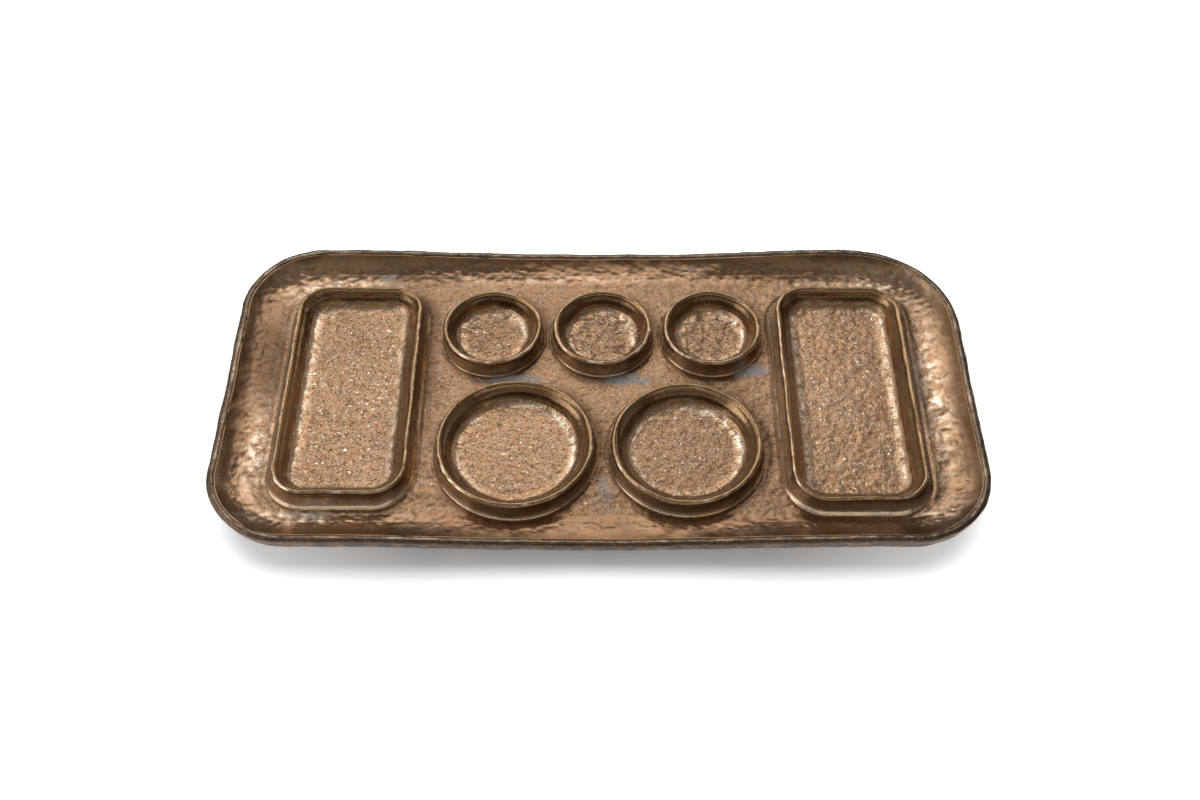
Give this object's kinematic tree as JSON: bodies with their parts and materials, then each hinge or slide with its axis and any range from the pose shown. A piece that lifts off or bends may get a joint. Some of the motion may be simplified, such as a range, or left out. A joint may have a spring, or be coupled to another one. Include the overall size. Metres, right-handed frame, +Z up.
{
  "type": "rectangular serving tray",
  "caption": "Long rounded tray with a turned-up beaded edge and low walled wells, oblong and round, for serving dips, sauces and small foods.",
  "frame": {"origin": "on the table, under the middle of the tray", "axes": "+X along the tray to the right, +Y to the back where the dips are, +Z up"},
  "size_m": [0.4576, 0.2294, 0.0228],
  "materials": {
    "floor_glaze": "satin",
    "edge_glaze": "satin",
    "bead_glaze": "satin",
    "wall_glaze": "satin",
    "fillet_glaze": "satin",
    "bare_clay": "matte"
  },
  "bodies": {
    "root": {"floor_slab": "floor_glaze", "edge_strip": "edge_glaze", "rim_bead": "bead_glaze", "foot_ring": "bare_clay", "left_plate_wall": "wall_glaze", "right_plate_wall": "wall_glaze", "left_dip_wall": "wall_glaze", "middle_dip_wall": "wall_glaze", "right_dip_wall": "wall_glaze", "left_bowl_wall": "wall_glaze", "right_bowl_wall": "wall_glaze", "left_plate_fillet": "fillet_glaze", "right_plate_fillet": "fillet_glaze", "left_dip_fillet": "fillet_glaze", "middle_dip_fillet": "fillet_glaze", "right_dip_fillet": "fillet_glaze", "left_bowl_fillet": "fillet_glaze", "right_bowl_fillet": "fillet_glaze"}
  },
  "joints": []
}
